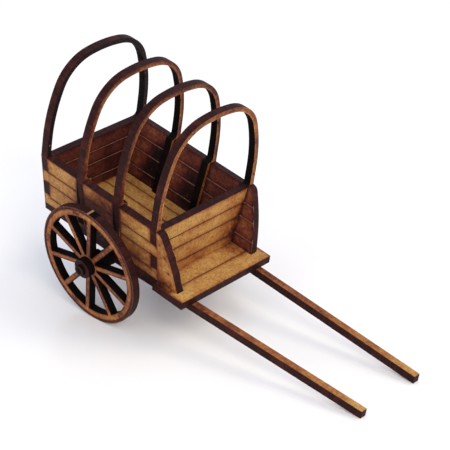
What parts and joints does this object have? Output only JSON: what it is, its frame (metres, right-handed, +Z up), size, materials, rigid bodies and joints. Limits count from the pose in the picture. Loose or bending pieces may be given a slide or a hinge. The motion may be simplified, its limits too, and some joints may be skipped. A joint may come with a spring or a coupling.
{
  "type": "two-wheeled tilt cart model",
  "caption": "Small laser-cut fibreboard model of a two-wheeled tilt cart: planked box bed, bent hoops for a cover, footboard between arms, spoked wheels that turn, and a pair of shafts.",
  "frame": {"origin": "on the ground under the middle of the cart, which rests on its wheels and its shaft tips", "axes": "+X forward to the shaft tips, +Y to the left of the cart, +Z up"},
  "size_m": [0.0958, 0.0446, 0.063],
  "materials": {
    "board": "matt laser-cut fibreboard, tan faces and charred brown edges",
    "hoop_board": "matt laser-cut fibreboard, scorched red brown with charred edges",
    "shaft_board": "matt laser-cut fibreboard strip, orange brown with charred edges",
    "wheel_board": "matt laser-cut fibreboard, tan face and near-black charred spoke edges",
    "axle_board": "matt fibreboard with a charred dark brown edge"
  },
  "bodies": {
    "cart": {"bed_floor": "board", "footboard": "board", "side_panel_right": "board", "side_panel_left": "board", "front_panel": "board", "rear_panel": "board", "hoop_second": "hoop_board", "hoop_third": "hoop_board", "arm_right": "board", "arm_left": "board", "shaft_right": "shaft_board", "shaft_left": "shaft_board", "axle": "axle_board", "axle_cap_right": "axle_board", "axle_cap_left": "axle_board"},
    "wheel_right": {"wheel_right": "wheel_board", "hub_disc_outer_right": "axle_board", "hub_disc_inner_right": "axle_board"},
    "wheel_left": {"wheel_left": "wheel_board", "hub_disc_outer_left": "axle_board", "hub_disc_inner_left": "axle_board"}
  },
  "joints": [
    {"name": "right_wheel_spin", "type": "hinge", "parent": "cart", "child": "wheel_right", "pos_m": [-0.02636, -0.01925, 0.0154], "axis": [0.0201, 0.9945, 0.1026], "continuous": true},
    {"name": "left_wheel_spin", "type": "hinge", "parent": "cart", "child": "wheel_left", "pos_m": [-0.02636, 0.01935, 0.0154], "axis": [-0.0034, 0.9998, -0.0171], "continuous": true}
  ]
}
